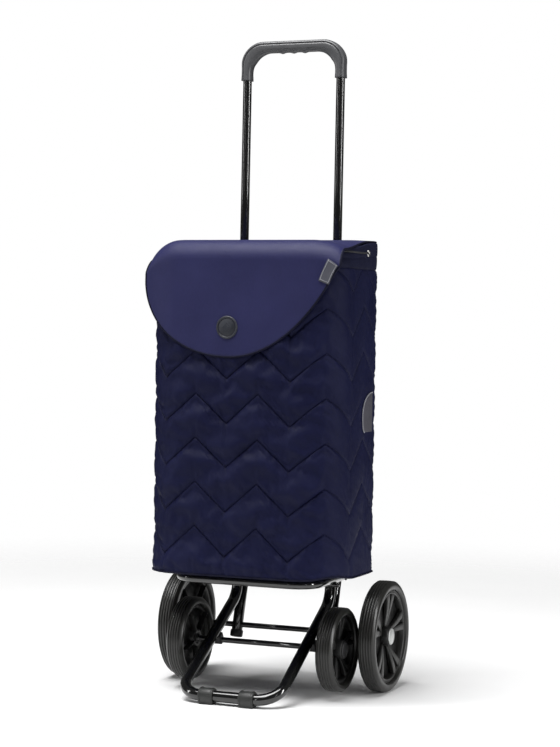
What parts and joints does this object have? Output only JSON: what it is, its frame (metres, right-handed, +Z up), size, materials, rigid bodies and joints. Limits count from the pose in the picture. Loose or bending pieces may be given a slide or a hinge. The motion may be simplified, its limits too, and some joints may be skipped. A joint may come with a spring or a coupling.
{
  "type": "shopping trolley",
  "caption": "Shopping trolley with four wheels, a tubular steel frame with a front bow, a fold-up load shelf, a U-shaped handle and a quilted bag with a flap.",
  "frame": {"origin": "on the ground, under the middle of the whole trolley", "axes": "+Z up, -Y towards the front (the bow), +X to the right as seen from the front camera side"},
  "size_m": [0.4262, 0.3658, 1.181],
  "materials": {
    "gloss_black_steel": "glossy black powder coat",
    "zinc_steel": "zinc plated",
    "black_plastic": "moulded, fine grain",
    "grip_plastic": "moulded mid grey",
    "bush_plastic": "moulded grey",
    "tyre_rubber": "matt ribbed rubber",
    "rim_plastic": "moulded dark grey",
    "hub_cap_metal": "satin",
    "foot_rubber": "matt",
    "bag_fabric": "quilted woven polyester, satin sheen",
    "flap_fabric": "woven polyester, satin sheen",
    "grey_fabric": "woven",
    "nickel": "polished nickel",
    "cord_fabric": "braided"
  },
  "bodies": {
    "frame": {"front_bow": "gloss_black_steel", "rear_axle": "gloss_black_steel", "front_axle": "gloss_black_steel", "bag_shell": "bag_fabric", "drawstring": "cord_fabric", "upright_left": "gloss_black_steel", "upright_right": "gloss_black_steel", "tube_joiner_left": "zinc_steel", "tube_joiner_right": "zinc_steel", "upright_collar_left": "black_plastic", "upright_collar_right": "black_plastic", "rear_strut_left": "gloss_black_steel", "rear_strut_right": "gloss_black_steel", "strut_end_cap_left": "black_plastic", "strut_end_cap_right": "black_plastic", "side_plate_left": "gloss_black_steel", "side_plate_right": "gloss_black_steel", "bow_bolt_left": "zinc_steel", "bow_bolt_right": "zinc_steel", "strut_bolt_left": "zinc_steel", "strut_bolt_right": "zinc_steel", "shelf_pivot_pin_left": "zinc_steel", "shelf_pivot_pin_right": "zinc_steel", "shelf_spacer_left": "black_plastic", "shelf_spacer_right": "black_plastic", "axle_saddle_left": "black_plastic", "axle_saddle_right": "black_plastic", "foot_clamp_left": "foot_rubber", "foot_clamp_right": "foot_rubber", "eyelet_left": "nickel", "eyelet_right": "nickel", "side_patch_left": "grey_fabric", "side_patch_right": "grey_fabric", "bag_loop_left": "cord_fabric", "bag_loop_right": "cord_fabric"},
    "shelf": {"load_shelf": "gloss_black_steel", "shelf_cross_rod": "gloss_black_steel", "base_board": "bush_plastic"},
    "flap": {"flap": "flap_fabric", "flap_badge": "black_plastic", "flap_label": "grey_fabric"},
    "handle": {"handle_tube": "gloss_black_steel", "grip": "grip_plastic"},
    "rear_left_wheel": {"rear_left_tyre": "tyre_rubber", "rear_left_rim": "rim_plastic", "rear_left_bush": "bush_plastic", "rear_left_hub_cap": "hub_cap_metal"},
    "rear_right_wheel": {"rear_right_tyre": "tyre_rubber", "rear_right_rim": "rim_plastic", "rear_right_bush": "bush_plastic", "rear_right_hub_cap": "hub_cap_metal"},
    "front_left_wheel": {"front_left_tyre": "tyre_rubber", "front_left_rim": "rim_plastic", "front_left_bush": "bush_plastic", "front_left_hub_cap": "black_plastic"},
    "front_right_wheel": {"front_right_tyre": "tyre_rubber", "front_right_rim": "rim_plastic", "front_right_bush": "bush_plastic", "front_right_hub_cap": "black_plastic"}
  },
  "joints": [
    {"name": "rear_left_wheel_spin", "type": "hinge", "parent": "frame", "child": "rear_left_wheel", "pos_m": [-0.196, 0.083, 0.1], "axis": [1, 0, 0], "continuous": true},
    {"name": "rear_right_wheel_spin", "type": "hinge", "parent": "frame", "child": "rear_right_wheel", "pos_m": [0.196, 0.083, 0.1], "axis": [1, 0, 0], "continuous": true},
    {"name": "front_left_wheel_spin", "type": "hinge", "parent": "frame", "child": "front_left_wheel", "pos_m": [-0.1437, -0.014, 0.0859], "axis": [1, 0, 0], "continuous": true},
    {"name": "front_right_wheel_spin", "type": "hinge", "parent": "frame", "child": "front_right_wheel", "pos_m": [0.1437, -0.014, 0.0859], "axis": [1, 0, 0], "continuous": true},
    {"name": "shelf_fold", "type": "hinge", "parent": "frame", "child": "shelf", "pos_m": [0, 0.033, 0.2095], "axis": [-1, 0, 0], "range_deg": [0, 90], "deforming": ["bag_shell", "drawstring", "eyelet_left", "eyelet_right", "side_patch_left", "side_patch_right"]},
    {"name": "flap_lift", "type": "hinge", "parent": "frame", "child": "flap", "pos_m": [0, 0.068, 0.8055], "axis": [-1, 0, 0], "range_deg": [0, 88]},
    {"name": "handle_slide", "type": "slide", "parent": "frame", "child": "handle", "axis": [0, -0.01, -1], "range_m": [0, 0.17]}
  ]
}
